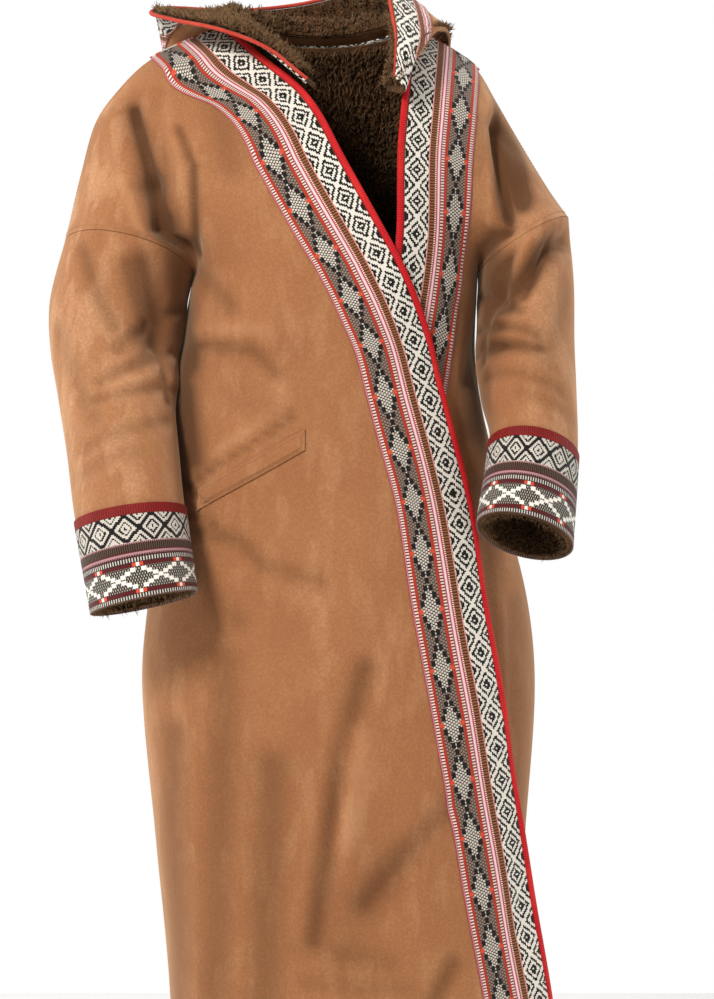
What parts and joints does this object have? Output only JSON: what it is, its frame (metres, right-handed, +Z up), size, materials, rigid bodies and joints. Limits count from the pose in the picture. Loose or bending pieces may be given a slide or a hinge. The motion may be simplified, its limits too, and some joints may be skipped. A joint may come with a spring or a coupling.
{
  "type": "farwa",
  "caption": "Long fur-lined winter coat of suede cloth with woven trim at the front edges and cuffs, worn open at the neck, its hood folded down.",
  "frame": {"origin": "between the shoulders at the height of the neck's base, where the wearer's shoulders carry the coat", "axes": "+Z up, the front faces -Y, the wearer's left is +X"},
  "size_m": [0.6681, 0.4707, 1.4905],
  "materials": {
    "suede": "napped tan suede cloth, matt with a soft sheen",
    "fur": "mottled brown pile",
    "woven_trim": "patterned weave, matt",
    "woven_cuff": "patterned weave, matt",
    "dark_red_tape": "ribbed tape, matt",
    "red_piping": "ribbed tape, matt"
  },
  "bodies": {
    "root": {"front_right": "suede", "front_left": "suede", "back": "suede", "sleeve_right": "suede", "sleeve_left": "suede", "hood": "suede", "pocket_welt_right": "suede", "hood_lining": "fur", "cuff_lining_right": "fur", "cuff_lining_left": "fur", "trim_right": "woven_trim", "trim_left": "woven_trim", "trim_neck": "woven_trim", "hood_trim": "woven_trim", "cuff_right": "woven_cuff", "cuff_left": "woven_cuff", "cuff_strip_right": "dark_red_tape", "cuff_strip_left": "dark_red_tape", "piping_right": "red_piping", "piping_left": "red_piping", "piping_hood": "red_piping"}
  },
  "joints": []
}
